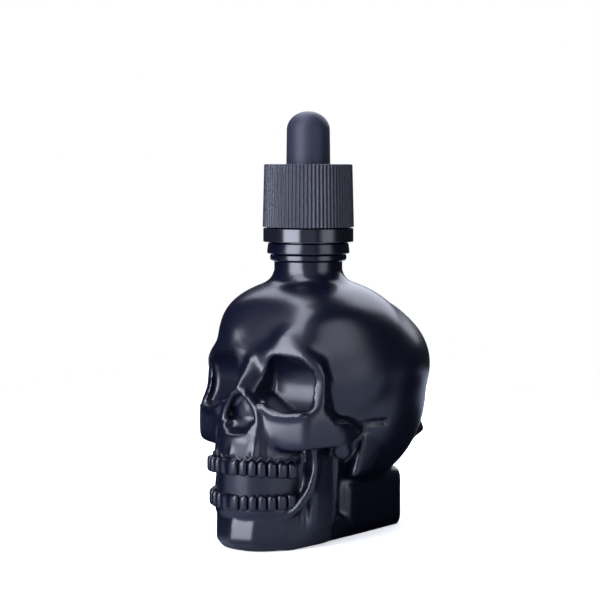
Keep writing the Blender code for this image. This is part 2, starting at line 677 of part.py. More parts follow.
def tamper_band():
    """The ring left on the neck: its lip is caught under the bead."""
    bore = BEAD_RADIUS + BEAD_FIT
    lip = NECK_RADIUS + FIT
    profile = [
        (BAND_RADIUS - RING_EDGE, BAND_Z + BAND_HEIGHT),
        (BAND_RADIUS, BAND_Z + BAND_HEIGHT - RING_EDGE),
        (BAND_RADIUS, BAND_Z + RING_EDGE),
        (BAND_RADIUS - RING_EDGE, BAND_Z),
        (lip, BAND_Z),
        (lip, BAND_Z + BAND_LIP - RING_EDGE),
        (lip + RING_EDGE, BAND_Z + BAND_LIP),
        (bore, BAND_Z + BAND_LIP),
        (bore, BAND_Z + BAND_HEIGHT),
        (BAND_RADIUS - RING_EDGE, BAND_Z + BAND_HEIGHT),
    ]
    return turned("tamper_band", profile, ROUND_STEPS, PARTS)


def screw_cap():
    """Ribbed outside with a slight draft, bored for the neck and holed for the bulb."""
    around = 4 * RIB_COUNT
    form = bmesh.new()
    bmesh.ops.create_cone(
        form,
        cap_ends=True,
        segments=around,
        radius1=CAP_RADIUS,
        radius2=CAP_RADIUS - CAP_DRAFT,
        depth=CAP_HEIGHT - RING_EDGE,
        matrix=Matrix.Translation((0, 0, CAP_Z + (CAP_HEIGHT - RING_EDGE) / 2)),
    )
    for vert in form.verts:
        step = round(math.atan2(vert.co.y, vert.co.x) / math.tau * around)
        if step % 4 in (2, 3):
            vert.co.xy = vert.co.xy * (1 - RIB_DEPTH / vert.co.xy.length)
    top = max(form.faces, key=lambda face: face.calc_center_median().z)
    rim = bmesh.ops.extrude_face_region(form, geom=[top])["geom"]
    form.faces.remove(top)
    for vert in (item for item in rim if isinstance(item, bmesh.types.BMVert)):
        vert.co.xy = vert.co.xy * (1 - RING_EDGE / vert.co.xy.length)
        vert.co.z += RING_EDGE
    mesh = bpy.data.meshes.new("screw_cap")
    form.to_mesh(mesh)
    form.free()
    cap = link(bpy.data.objects.new("screw_cap", mesh), PARTS)
    hole = BULB_RADIUS + FIT
    bore = [
        (0, CAP_TOP_Z + OVERRUN),
        (hole, CAP_TOP_Z + OVERRUN),
        (hole, FLANGE_TOP_Z + FIT),
        (CAP_BORE_RADIUS, FLANGE_TOP_Z + FIT),
        (CAP_BORE_RADIUS, CAP_Z + RING_EDGE),
        (CAP_BORE_RADIUS + 2 * RING_EDGE, CAP_Z - RING_EDGE),
        (CAP_BORE_RADIUS + 2 * RING_EDGE, CAP_Z - OVERRUN),
        (0, CAP_Z - OVERRUN),
    ]
    return boolean(cap, turned("cap_bore", bore, ROUND_STEPS, CUTTERS), "DIFFERENCE")


def dome(radius, height, base_z):
    """Points of a rounded end, from its top on the axis down to its full radius."""
    turns = [math.pi / 2 * (1 - i / DOME_STEPS) for i in range(DOME_STEPS + 1)]
    points = [(radius * math.cos(turn), base_z + height * math.sin(turn)) for turn in turns]
    return [(0, base_z + height)] + points[1:]


def rubber_bulb():
    """A hollow teat whose flange seals on the neck, with a collar that grips the pipette."""
    hollow = BULB_RADIUS - BULB_WALL
    grip = PIPETTE_RADIUS + FIT
    shoulder_z = CAP_TOP_Z + BULB_RISE - BULB_DOME
    outside = dome(BULB_RADIUS - BULB_DRAFT, BULB_DOME, shoulder_z) + [
        (BULB_RADIUS, CAP_TOP_Z),
        (BULB_RADIUS, FLANGE_TOP_Z),
        (FLANGE_RADIUS, FLANGE_TOP_Z),
        (FLANGE_RADIUS, FLANGE_Z),
        (grip, FLANGE_Z),
        (grip, PIPETTE_TOP_Z),
        (hollow, PIPETTE_TOP_Z + BULB_WALL),
    ]
    inside = dome(hollow - BULB_DRAFT, BULB_DOME - BULB_WALL, shoulder_z)
    return turned("rubber_bulb", outside + inside[::-1], BULB_STEPS, PARTS)


def glass_pipette():
    """A straight glass tube drawn down to a fine tip."""
    taper = [i / TAPER_STEPS for i in range(TAPER_STEPS + 1)]

    def drawn(wide, narrow):
        widths = [narrow + (wide - narrow) * math.sin(math.pi / 2 * share) for share in taper]
        return [(width, PIPETTE_Z + PIPETTE_TAPER * share) for width, share in zip(widths, taper)]

    outside = [(PIPETTE_RADIUS, PIPETTE_TOP_Z)] + drawn(PIPETTE_RADIUS, PIPETTE_TIP_RADIUS)[::-1]
    inside = drawn(PIPETTE_BORE, PIPETTE_TIP_BORE) + [(PIPETTE_BORE, PIPETTE_TOP_Z)]
    return turned("glass_pipette", outside + inside + outside[:1], PIPETTE_STEPS, PARTS)


def finish(obj, surface, sharp_degrees):
    obj.data.materials.clear()
    obj.data.materials.append(surface)
    mesh = baked_mesh(obj)
    for step in list(obj.modifiers):
        obj.modifiers.remove(step)
    obj.data = mesh
    mesh.shade_smooth()
    mesh.set_sharp_from_angle(angle=math.radians(sharp_degrees))


clear_scene()
PARTS = collection("skull_bitters_bottle", False)
CUTTERS = collection("cutters", True)
BLACK_GLASS = material("coated_black_glass", (0.012, 0.013, 0.017), 0.34)
BLACK_PLASTIC = material("black_plastic", (0.016, 0.016, 0.019), 0.42)
BLACK_RUBBER = material("black_rubber", (0.02, 0.021, 0.025), 0.6)
CLEAR_GLASS = material("clear_glass", (0.8, 0.83, 0.83), 0.05)
finish(glass_skull(), BLACK_GLASS, 40)
finish(tamper_band(), BLACK_PLASTIC, 35)
finish(screw_cap(), BLACK_PLASTIC, 35)
finish(rubber_bulb(), BLACK_RUBBER, 35)
finish(glass_pipette(), CLEAR_GLASS, 35)
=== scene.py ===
"""Looks of the skull-shaped dropper bottle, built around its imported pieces.

The skull's tables are in millimetres, drawn for a bottle of DRAWN_SKULL, and are stretched to the
packed bottle's box. The turned pieces take their sizes from their own nodes' boxes.
"""

import math

import bpy
import numpy as np
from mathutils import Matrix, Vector
from mathutils.bvhtree import BVHTree


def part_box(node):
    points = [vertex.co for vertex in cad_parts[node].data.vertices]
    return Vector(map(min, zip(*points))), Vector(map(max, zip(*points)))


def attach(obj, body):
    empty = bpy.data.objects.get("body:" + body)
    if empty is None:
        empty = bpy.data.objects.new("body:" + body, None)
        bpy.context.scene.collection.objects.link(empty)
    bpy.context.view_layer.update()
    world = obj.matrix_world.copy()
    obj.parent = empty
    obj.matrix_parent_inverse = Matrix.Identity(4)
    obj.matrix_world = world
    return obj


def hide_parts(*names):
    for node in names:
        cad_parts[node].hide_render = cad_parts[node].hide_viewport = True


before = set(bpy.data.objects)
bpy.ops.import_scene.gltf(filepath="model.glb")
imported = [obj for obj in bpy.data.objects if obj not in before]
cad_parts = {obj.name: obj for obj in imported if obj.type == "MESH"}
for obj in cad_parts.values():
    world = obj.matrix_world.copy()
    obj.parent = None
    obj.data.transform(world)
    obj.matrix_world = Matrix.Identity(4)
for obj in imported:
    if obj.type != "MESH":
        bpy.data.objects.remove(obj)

MM = 0.001
WELD = 0.01 * MM
bpy.ops.object.select_all(action="DESELECT")
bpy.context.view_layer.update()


# Camera: a long lens 97 mm above the base plane, level with the cap, 37.5 degrees round from the
# face as in the photograph. The shift puts the bottle's axis where the photograph has it.
PHOTO_WIDTH = 600
AXIS_PIXEL = 308.3
CAMERA_TURN = math.radians(37.5)
CAMERA_DIP = math.radians(4.1)
CAMERA_REACH = 0.49
CAMERA_HEIGHT = 0.0972
CAMERA_LENS = 111.84
FILM_WIDTH = 36
camera_way = Vector((math.sin(CAMERA_TURN), -math.cos(CAMERA_TURN), 0))
bpy.ops.object.camera_add(
    location=camera_way * CAMERA_REACH + Vector((0, 0, CAMERA_HEIGHT)),
    rotation=(math.radians(90) - CAMERA_DIP, 0, CAMERA_TURN),
)
camera = bpy.context.object
camera.name = "camera"
camera.data.lens = CAMERA_LENS
camera.data.sensor_width = FILM_WIDTH
camera.data.shift_x = (PHOTO_WIDTH / 2 - AXIS_PIXEL) / PHOTO_WIDTH
camera.data.clip_start = 0.01
bpy.context.scene.camera = camera
bpy.context.scene.view_settings.view_transform = "Standard"


# Studio: a large soft box left of the camera, weak ones in front and on the right, one overhead
# and two behind for the pale rim. Floor and wall are white paper to the camera and through clear
# glass, while the black pieces mirror a dark room and a floor whose colour, seen only in
# reflections, holds painted light and shade: bright and dark bands painted across it.
LAMP_AIM = Vector((0, 0, 0.055))
LAMP_TINT = (0.81, 0.84, 1.0)


def soft_box(name, turn, rise, reach, width, height, watts):
    """A rectangular lamp, turned right of the camera and raised above the bottle by degrees."""
    around = CAMERA_TURN + math.radians(turn)
    up = math.radians(rise)
    level = Vector((math.sin(around), -math.cos(around), 0))
    away = level * math.cos(up) + Vector((0, 0, math.sin(up)))
    bpy.ops.object.light_add(type="AREA", location=LAMP_AIM + away * reach)
    lamp = bpy.context.object
    lamp.name = name
    lamp.rotation_euler = away.to_track_quat("Z", "Y").to_euler()
    lamp.data.shape = "RECTANGLE"
    lamp.data.size = width
    lamp.data.size_y = height
    lamp.data.energy = watts
    lamp.data.color = LAMP_TINT
    lamp.visible_camera = False


soft_box("lamp_left", turn=-44, rise=6, reach=0.70, width=0.54, height=0.84, watts=17.0)
soft_box("lamp_left_high", turn=-40, rise=60, reach=0.70, width=0.36, height=0.50, watts=4.5)
# The two on the right lie one behind the other, for a soft edge
soft_box("lamp_right", turn=50, rise=4, reach=0.80, width=0.40, height=0.72, watts=1.5)
soft_box("lamp_right_edge", turn=50, rise=4, reach=0.81, width=0.60, height=0.92, watts=1.9)
soft_box("lamp_front", turn=4, rise=14, reach=0.80, width=0.44, height=1.10, watts=0.75)
soft_box("lamp_top", turn=-135, rise=74, reach=0.60, width=0.30, height=0.22, watts=1.5)
soft_box("lamp_back", turn=158, rise=34, reach=0.80, width=0.80, height=0.60, watts=5.0)
soft_box("lamp_back_left", turn=-165, rise=52, reach=0.80, width=0.60, height=0.40, watts=3.0)

ROOM_COLOR = (0.80, 0.88, 1, 1)
ROOM_STRENGTH = 0.03
world = bpy.data.worlds.new("studio")
bpy.context.scene.world = world
world.use_nodes = True
world_nodes = world.node_tree.nodes
world_links = world.node_tree.links
room = world_nodes["Background"]
room.inputs["Color"].default_value = ROOM_COLOR
room.inputs["Strength"].default_value = ROOM_STRENGTH
paper_white = world_nodes.new("ShaderNodeBackground")
paper_white.inputs["Color"].default_value = (1, 1, 1, 1)
paper_white.inputs["Strength"].default_value = 1
ray = world_nodes.new("ShaderNodeLightPath")
clear_view = world_nodes.new("ShaderNodeMath")
clear_view.operation = "MAXIMUM"
world_links.new(ray.outputs["Is Camera Ray"], clear_view.inputs[0])
world_links.new(ray.outputs["Is Transmission Ray"], clear_view.inputs[1])
seen = world_nodes.new("ShaderNodeMixShader")
world_links.new(clear_view.outputs[0], seen.inputs["Fac"])
world_links.new(room.outputs["Background"], seen.inputs[1])
world_links.new(paper_white.outputs["Background"], seen.inputs[2])
world_links.new(seen.outputs["Shader"], world_nodes["World Output"].inputs["Surface"])

FLOOR_SIZE = 0.6
PAPER_COLOR = (0.8, 0.81, 0.83, 1)
PAPER_GLOW = 0.55
# Painted light and shade on the floor, seen only by reflected rays so that the black pieces
# mirror it: the colour of its far and near edge, and the place and level of the painted bright
# and dark bands between them, on the line that runs towards the camera
FAR_PAINTED_FLOOR = (0.40, 0.43, 0.52, 1)
NEAR_PAINTED_FLOOR = (0.42, 0.45, 0.55, 1)
PAINTED_FLOOR_BANDS = ((0.22, 0.48), (0.31, 0.01), (0.508, 0.01), (0.545, 0.40))
bpy.ops.mesh.primitive_plane_add(size=FLOOR_SIZE)
floor = bpy.context.object
floor.name = "floor"
floor.data.materials.append(bpy.data.materials.new("floor_paper_and_painted_bands"))
floor.data.materials[0].use_nodes = True
floor_nodes = floor.data.materials[0].node_tree.nodes
floor_links = floor.data.materials[0].node_tree.links
paper = floor_nodes["Principled BSDF"]
paper.inputs["Roughness"].default_value = 0.9
paper.inputs["Specular IOR Level"].default_value = 0
floor_ray = floor_nodes.new("ShaderNodeLightPath")
# The floor's colour: white paper for camera and transmission rays, painted bands for all other rays
paper_and_painted_bands = floor_nodes.new("ShaderNodeMix")
paper_and_painted_bands.data_type = "RGBA"
paper_and_painted_bands.inputs["B"].default_value = PAPER_COLOR
floor_place = floor_nodes.new("ShaderNodeTexCoord")
towards = floor_nodes.new("ShaderNodeVectorMath")
towards.operation = "DOT_PRODUCT"
towards.inputs[1].default_value = camera_way
floor_links.new(floor_place.outputs["Object"], towards.inputs[0])
floor_span = floor_nodes.new("ShaderNodeMapRange")
floor_span.inputs["From Min"].default_value = -FLOOR_SIZE / 2
floor_span.inputs["From Max"].default_value = FLOOR_SIZE / 2
floor_links.new(towards.outputs["Value"], floor_span.inputs["Value"])
# Painted light and shade: a ramp of bright and dark bands in the floor's colour, along the line towards the
# camera
painted_floor_light = floor_nodes.new("ShaderNodeValToRGB")
painted_floor_light.color_ramp.elements[0].color = FAR_PAINTED_FLOOR
painted_floor_light.color_ramp.elements[1].color = NEAR_PAINTED_FLOOR
# High levels are painted light and low ones painted shade, both tinted blue
for place, level in PAINTED_FLOOR_BANDS:
    painted_floor_light.color_ramp.elements.new(place).color = (level, level * 1.08, level * 1.3, 1)
floor_links.new(floor_span.outputs["Result"], painted_floor_light.inputs["Fac"])
floor_links.new(painted_floor_light.outputs["Color"], paper_and_painted_bands.inputs["A"])
floor_view = floor_nodes.new("ShaderNodeMath")
floor_view.operation = "MAXIMUM"
floor_links.new(floor_ray.outputs["Is Camera Ray"], floor_view.inputs[0])
floor_links.new(floor_ray.outputs["Is Transmission Ray"], floor_view.inputs[1])
floor_links.new(floor_view.outputs[0], paper_and_painted_bands.inputs["Factor"])
floor_links.new(paper_and_painted_bands.outputs["Result"], paper.inputs["Base Color"])
glow = floor_nodes.new("ShaderNodeMath")
glow.operation = "MULTIPLY"
glow.inputs[1].default_value = PAPER_GLOW
floor_links.new(floor_view.outputs[0], glow.inputs[0])
paper.inputs["Emission Color"].default_value = (1, 1, 1, 1)
floor_links.new(glow.outputs[0], paper.inputs["Emission Strength"])


# Skull: one hollow casting of glass under a satin black coat, from a two-part mould, with its neck,
# stepped collar and bead. Its forms are fused from rounded masses and flat-sided ones, worn smooth
# in stages, cut with the eye and nose hollows and creased under the temple.
DRAWN_SKULL = Vector((51.05, 71.54, 93.8)) * MM
low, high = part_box("skull_bottle")
drawn_to_real = [(top - base) / drawn for top, base, drawn in zip(high, low, DRAWN_SKULL)]
MASS_VOXEL = 1.0 * MM
SOFT_VOXEL = 0.6 * MM
FORM_VOXEL = 0.50 * MM
# Rounds of smoothing that each stage of the skull gets
MASS_WEAR = 14
SOFT_WEAR = 44
FIRM_WEAR = 5
HOLLOW_WEAR = 1
LAST_WEAR = 3
CAVITY_WEAR = 4

# Centre, radii, turn about Z and squareness of each rounded mass
MASS_BALLS = (
    ((0, 0.4, 51.2), (24.3, 24.6, 17.5), 0, 2.6),  # forehead
    ((0, 2, 45.5), (25, 27, 22.3), 0, 2),  # crown
    ((0, 10.9, 44.6), (25.8, 27.3, 19.2), 0, 2),  # back of the head
    ((0, 11, 37.5), (24.6, 25.9, 27.2), 0, 2),  # nape
    ((0, 4.6, 51.4), (24.2, 23, 15.8), 0, 2),  # upper back
    ((0, 8.8, 48.2), (24.6, 25.8, 17.0), 0, 2),  # slope between them
    ((0, -8.5, 40), (18, 14.5, 15), 0, 2),  # face
    ((0, -3, 25), (16.5, 13, 10), 0, 2),  # skull base
)

# Flats worn into the mass: a point on each, the turn and rise of its outward direction, and how
# softly it blends
MASS_FLATS = (
    ((0, -22.9, 53), 0, 20, 1.1),  # forehead
    ((21.3, -10.4, 42), 63, 1, 2.0),  # temple
)

# Points and radii of the bars that melt into the mass
SOFT_TUBES = (
    # root of the neck
    ((0, 0, 60, 12), (0, 0, 64.5, 11.4), (0, 0, 67.5, 10.2), (0, 0, 70, 9.1), (0, 0, 72, 8.8)),
    # brow
    ((1.5, -22.2, 48.8, 2.0), (5.5, -22.2, 50.4, 2.0), (10, -21.2, 51.0, 2.0), (14.5, -19.9, 49.4, 2.0),
     (17.2, -18.4, 46.8, 2.0)),
    # outer rim of the orbit
    ((17.2, -18.4, 47.4, 1.6), (18.3, -17.7, 44.5, 1.5), (18.7, -17.5, 40.5, 1.5), (18.0, -19.3, 36.6, 1.8)),
)
SOFT_BALLS = (
    ((0, -21.5, 36), (5.6, 6.2, 7.5), 0, 2),  # root of the nose
)
SOFT_BLOCKS = (
    ((14.6, -15.6, 41.5), (2.9, 3.2, 8.5), 1.2, 0, 0),  # outer wall of the orbit
)

# Half width, front, length, low and high edge and edge radius of the slabs along the dental arch
ARCH_SQUARENESS = 2.4
ARCH_SLABS = (
    (12.6, 32.0, 26, 9.5, 30, 1.2),  # wall of the mouth
    (13.9, 30.9, 25, 0.0, 10.4, 4.4),  # jaw
    (13.2, 31.9, 22, 9.2, 12.0, 0.9),  # lower gum
    (9.8, 27.6, 31, -3, 8, 2.0),  # foot of the jaw
    (12.4, 31.7, 17, 22.4, 25.4, 1.0),  # upper gum
    (11.8, 30.6, 17, 21, 33, 1.6),  # upper jaw
)

# Corners of the flat-sided forms
SOFT_HULLS = (
    # brow's face
    ((3.2, -24.7, 48.6), (7.4, -22.2, 56.0), (10.2, -21.7, 56.2), (15.5, -21.6, 47.5), (3.5, -19, 48.8),
     (8, -19, 56), (11, -17, 56), (14, -17, 47.5)),
    # upper jaw under the orbit, and its cheek facet
    ((4.2, -25.6, 40), (5.5, -26.9, 37), (6.6, -27.8, 33), (7.3, -28.2, 28.5), (7.6, -27.7, 35.9),
     (17.0, -24.1, 35.8), (17.0, -24.1, 25.8), (11.1, -26.4, 25.6), (4, -19, 40), (16, -19, 36),
     (16, -19, 26.8), (6, -19, 26)),
    # cheekbone and arch
    ((17.4, -24.3, 35.8), (20.0, -20.2, 37.4), (21.4, -16.8, 34.6), (22.2, -13.5, 32.8), (22.0, -9, 31.6),
     (21, -4, 31), (17.4, -24.3, 25.8), (19.9, -19, 26.0), (22.2, -13.5, 26.2), (22.0, -9, 27.0),
     (21.4, -4, 28.0), (13.5, -21, 35.5), (13.5, -21, 27), (19, -12, 32), (19, -12, 27), (18.5, -4, 30.5),
     (18.5, -4, 28.5)),
    # filling that the orbit is cut from
    ((4, -23.4, 48.4), (9, -23.6, 49.6), (13.5, -21.0, 48.6), (17, -18.4, 45), (19.2, -17.0, 41),
     (19.6, -18.0, 37.6), (16, -21.8, 35), (8, -24.6, 35.4), (4.2, -24.8, 39.6), (4, -12, 48), (17, -12, 46),
     (18, -14, 37), (6, -12, 36)),
)
FIRM_HULLS = (
    # ledge of the nape
    ((-1, 33.5, 32), (10, 31.5, 31.8), (16, 27.5, 31.6), (-1, 37.4, 27.0), (8, 36.4, 26.4),
     (15.0, 32.4, 25.8), (17.8, 28.6, 25.9), (-1, 30, 23.6), (14, 25, 23.2), (17.4, 22, 23.4)),
    # tip behind the ear
    ((20.2, -2.4, 28), (21.6, 6, 28), (20.4, 6.4, 24.6), (19.4, 3.2, 19), (18.4, -4.0, 17.6), (17, -4.5, 17),
     (17, 1.5, 16.7), (15, -2, 28), (15, 6, 28), (15, -3.5, 18), (15, 2, 18)),
    # nasal bones
    ((-0.3, -24.4, 48.5), (0, -24.4, 48.5), (-0.3, -27.2, 45), (0, -27.2, 45), (-0.3, -30.1, 41.9),
     (0.1, -30.1, 41.9), (2.4, -29.0, 39.8), (4.6, -27.6, 37), (-0.3, -29.2, 41), (3.2, -22.3, 48),
     (3.9, -24.6, 42), (4.6, -25.6, 39.5), (-0.3, -18, 49), (4, -18, 48), (4.4, -18, 37), (-0.3, -18, 37)),
    # branch of the jaw
    ((15.8, -18.0, 27.5), (16.2, -8.6, 27.0), (15.9, -7.9, 13), (15.0, -7.6, 6), (12, -8, 1.2), (9, -8, 0.5),
     (9, -18, 0.5), (12.5, -18, 1.2), (15.2, -18, 6), (15.8, -17.6, 13), (12, -18, 27.5), (12, -9, 27)),
    # chin, with its keel
    ((-0.3, -31.9, 8.3), (-0.3, -32.7, 2.6), (5.7, -30.2, 8.3), (5.7, -31.0, 2.6), (10.8, -24.8, 8.2),
     (10.8, -24.6, 3.6), (-0.5, -30.6, 10.4), (8, -28.0, 10.2), (-0.5, -30.8, 1.2), (8, -27.2, 1.2),
     (0, -22, 10), (12.6, -20, 9), (0, -22, 1), (11.6, -20, 2)),
)
FIRM_TUBES = (
    # rim of the nose
    ((1.8, -28.9, 40.2, 1.0), (3.9, -28.0, 37.6, 1.1), (5.4, -28.1, 34, 1.0), (5.6, -28.5, 31.4, 0.9),
     (4.0, -29.5, 29.6, 0.8), (0, -30.0, 29.2, 0.8)),
    # its foot, down to the gum
    ((5.6, -28.6, 31.6, 0.9), (6.0, -29.7, 28, 0.8), (5.9, -30.7, 24.6, 0.8)),
    # back edge of the jaw's branch
    ((15.9, -8.9, 23, 0.8), (15.6, -8.7, 14, 0.8), (14.7, -8.5, 7, 0.8)),
    # root of the canine
    ((7.2, -27.3, 31, 0.9), (7.6, -27.5, 27.5, 1.0), (7.9, -27.9, 24.5, 0.9)),
    # lower rim of the orbit
    ((6.2, -27.5, 37.4, 0.7), (8.6, -27.1, 35.6, 0.8), (12.4, -25.8, 35.0, 0.8), (16.6, -24.2, 35.4, 0.7)),
    # ridge from the nose down to the gum
    ((0, -29.6, 29.6, 1.5), (0, -30.6, 27.5, 1.5), (0, -31.4, 25.0, 1.4)),
    # front edge of the jaw's branch
    ((14.8, -17.4, 26, 1.5), (15.0, -17.6, 20, 1.5), (14.4, -18.8, 15.5, 1.6), (13.3, -21.0, 12.0, 1.4),
     (11.2, -23.6, 9.0, 0.9)),
)
FIRM_BALLS = (
    ((0, -23.5, 47.6), (1.7, 1.5, 2.2), 0, 2),  # bump between the brows
    ((19.6, -11.2, 25.6), (2.4, 3.4, 2.9), 0, 2),  # jaw joint
)
# Centre, half sizes, edge radius, turn about Z and tilt about X
FIRM_BLOCKS = (
    ((0, -8.5, 11.6), (10.4, 13.5, 12.9), 2.0, 0, 0),  # throat
    ((0, 13.9, 7.5), (12.1, 13.9, 8.7), 3.2, 0, 0),  # block under the back of the head
    ((0, -2, 2.9), (11.9, 5.5, 3.1), 1.4, 0, 0),  # foot between the jaw and the block
)
HOLLOW_TUBES = (
    # between the molars and the jaw's branch
    ((14.4, -20.4, 26.6, 1.7), (14.0, -19.9, 23, 1.9), (13.7, -19.9, 18, 1.5), (13.4, -21.2, 15.0, 1.0)),
    # beside the block, under the head
    ((18.4, 5, 12.5, 4.5), (17.8, 15, 12.5, 4.5), (17.6, 26, 12.5, 4.5)),
)
HOLLOW_BALLS = (
    ((15.8, -21.6, 22.6), (2.6, 3.4, 4.4), 0, 2),  # under the cheekbone
)
HOLLOW_HULLS = (
    # behind the bar of the cheek, upper and lower
    ((24, -22, 49.5), (24, -15.4, 49.5), (18.9, -17.4, 49.5), (18.9, -16.2, 49.5), (24, -22.5, 38.5),
     (24, -12.6, 38.5), (18.2, -17.0, 38.5), (17.8, -12.6, 38.5)),
    ((24, -22.5, 39.5), (18.4, -17.2, 39.5), (18.2, -13.8, 39.5), (24, -13.8, 39.5), (24, -21.5, 36),
     (18.6, -16.4, 36), (18.6, -11.2, 36), (24, -11.2, 36), (24, -18, 32.6), (19.6, -15, 33),
     (19.8, -9, 33.2), (24, -9, 32.2)),
    # between the jaw and the tip behind the ear
    ((23, -8.4, 27.4), (23, -3.2, 27.4), (20, -8.2, 14), (20, -5.2, 14), (15.4, -8.2, 27), (15.4, -3.6, 27),
     (14.5, -8.0, 14), (14.5, -4.9, 14)),
    # one side of the nose
    ((0.6, -32, 41.0), (2.3, -32, 39.6), (4.3, -32, 36.5), (5.1, -32, 33.5), (5.0, -32, 31), (3.6, -32, 29.8),
     (0.6, -32, 29.6), (0.6, -27.2, 38.8), (1.3, -27.2, 37.6), (2.6, -27.2, 35.6), (3.2, -27.2, 33.5),
     (3.1, -27.2, 32.2), (2.2, -27.2, 31.4), (0.6, -27.2, 31.2)),
    # in front of its partition
    ((-1, -32, 40.8), (1, -32, 40.8), (-1, -27.4, 39.2), (1, -27.4, 39.2), (-1, -27.4, 31), (1, -27.4, 31),
     (-1, -32, 30.0), (1, -32, 30.0)),
)
# Centre, half length across, radius and turn about Z of each orbit, a drum lying across the face
ORBIT = ((9.8, -27.2, 41.9), 7.9, 8.8, 6)
# The orbit's opening seen from the front, and how far through the face it runs
ORBIT_OPENING = (
    (3.4, 39.9), (3.6, 41.8), (4.1, 45), (5.1, 47.8), (7.2, 50.4), (11.3, 51.2), (14, 49.4), (16.6, 46),
    (18.2, 43), (19.4, 40.2), (20.2, 37.9), (17.5, 36.1), (12, 35.6), (8.8, 36.9), (5.9, 38.4),
)
ORBIT_DEPTH = (-34, -15)
# The room for the liquid
CAVITY_BALLS = (
    ((0, 4.5, 46), (21.5, 19.5, 18.5), 0, 2),  # crown
    ((0, 11, 44), (22.5, 24, 15.5), 0, 2),  # back of the head
    ((0, 12, 38), (20.5, 21, 21), 0, 2),  # nape
    ((0, 2, 55), (19, 19, 9.5), 0, 2),  # under the neck
    ((0, -11, 24), (7, 9, 12), 0, 2),  # jaw
)
CAVITY_BLOCKS = (((0, 8.5, 15), (8.6, 14, 9), 2.5, 0, 0),)


def real(point):
    """A place in the skull's drawn millimetres as a place in the frame."""
    return Vector([length * share * MM for length, share in zip(point, drawn_to_real)])


def joined(pieces, name):
    """One object from several, at the origin with its place in its mesh."""
    bpy.ops.object.select_all(action="DESELECT")
    for piece in pieces:
        piece.select_set(True)
    bpy.context.view_layer.objects.active = pieces[0]
    bpy.ops.object.convert(target="MESH")
    if len(pieces) > 1:
        bpy.ops.object.join()
    bpy.ops.object.transform_apply(location=True, rotation=True, scale=True)
    whole = bpy.context.object
    whole.name = name
    whole.data.name = name
    whole.select_set(False)
    return whole


def applied(piece, kind, **settings):
    """Adds a modifier to a piece, sets it and applies it."""
    bpy.ops.object.select_all(action="DESELECT")
    piece.select_set(True)
    bpy.context.view_layer.objects.active = piece
    step = piece.modifiers.new(kind.title(), kind)
    for setting, value in settings.items():
        setattr(step, setting, value)
    bpy.ops.object.modifier_apply(modifier=step.name)
    piece.select_set(False)
    return piece


def rounded(piece, edge, segments=4):
    rounding = piece.modifiers.new("Rounding", "BEVEL")
    rounding.width = edge * MM
    rounding.segments = segments
    return piece


def ball(centre, radii, turn=0, squareness=2, sides=48):
    """An ellipsoid whose plan goes from round at squareness 2 towards square."""
    bpy.ops.mesh.primitive_uv_sphere_add(
        segments=sides, ring_count=sides // 2, location=real(centre), rotation=(0, 0, math.radians(turn))
    )
    piece = bpy.context.object
    for vert in piece.data.vertices:
        reach = vert.co.xy.length
        if squareness != 2 and reach > WELD:
            plan = [math.copysign(abs(along / reach) ** (2 / squareness), along) for along in vert.co.xy]
            vert.co.xy = [reach * along for along in plan]
    piece.scale = real(radii)
    return piece


def block(centre, halves, edge, turn, tilt):
    bpy.ops.mesh.primitive_cube_add(size=2, scale=real(halves))
    piece = bpy.context.object
    bpy.ops.object.transform_apply(location=False, rotation=False, scale=True)
    piece.location = real(centre)
    piece.rotation_euler = (math.radians(tilt), 0, math.radians(turn))
    return rounded(piece, edge)


def tube(rows):
    """A bar that swells from point to point, with a round end at both."""
    bpy.ops.curve.primitive_bezier_curve_add(radius=1)
    bar = bpy.context.object
    bar.data.bevel_depth = MM
    bar.data.bevel_resolution = 4
    bar.data.resolution_u = 8
    bar.data.use_fill_caps = True
    bar.data.splines.clear()
    line = bar.data.splines.new("BEZIER")
    line.bezier_points.add(len(rows) - 1)
    for point, row in zip(line.bezier_points, rows):
        point.co = real(row[:3])
        point.radius = row[3]
        point.handle_left_type = "AUTO"
        point.handle_right_type = "AUTO"
    ends = [ball(row[:3], (row[3], row[3], row[3]), sides=24) for row in (rows[0], rows[-1])]
    return [bar] + ends


def hull(corners):
    """A flat-sided form stretched over its corners."""
    bpy.ops.mesh.primitive_plane_add()
    piece = bpy.context.object
    piece.data.clear_geometry()
    piece.data.from_pydata([real(corner) for corner in corners], [], [])
    bpy.ops.object.mode_set(mode="EDIT")
    bpy.ops.mesh.select_all(action="SELECT")
    bpy.ops.mesh.convex_hull()
    bpy.ops.object.mode_set(mode="OBJECT")
    return piece


def tubes(table):
    return [piece for rows in table for piece in tube(rows)]


def arch_slab(half, front, length, base, top, edge):
    """A slab whose outline follows the dental arch, with rounded edges."""
    bpy.ops.mesh.primitive_circle_add(vertices=96, radius=1, fill_type="NGON")
    slab = bpy.context.object
    for vert in slab.data.vertices:
        turn = math.atan2(vert.co.x, -vert.co.y)
        ahead = max(0.0, math.cos(turn)) ** (2 / ARCH_SQUARENESS)
        side = math.copysign(abs(math.sin(turn)) ** (2 / ARCH_SQUARENESS), turn)
        if math.cos(turn) < 0:
            side = math.copysign(1, turn) * min(1, abs(math.sin(turn)) * 4)
        vert.co = real((half * side, length - front - length * ahead, base))
    rise = real((0, 0, top - base)).z
    bpy.ops.object.mode_set(mode="EDIT")
    bpy.ops.mesh.select_all(action="SELECT")
    bpy.ops.mesh.remove_doubles(threshold=WELD)
    bpy.ops.mesh.extrude_region_move(TRANSFORM_OT_translate={"value": (0, 0, rise)})
    bpy.ops.mesh.select_all(action="SELECT")
    bpy.ops.mesh.normals_make_consistent(inside=False)
    bpy.ops.object.mode_set(mode="OBJECT")
    return rounded(slab, edge)


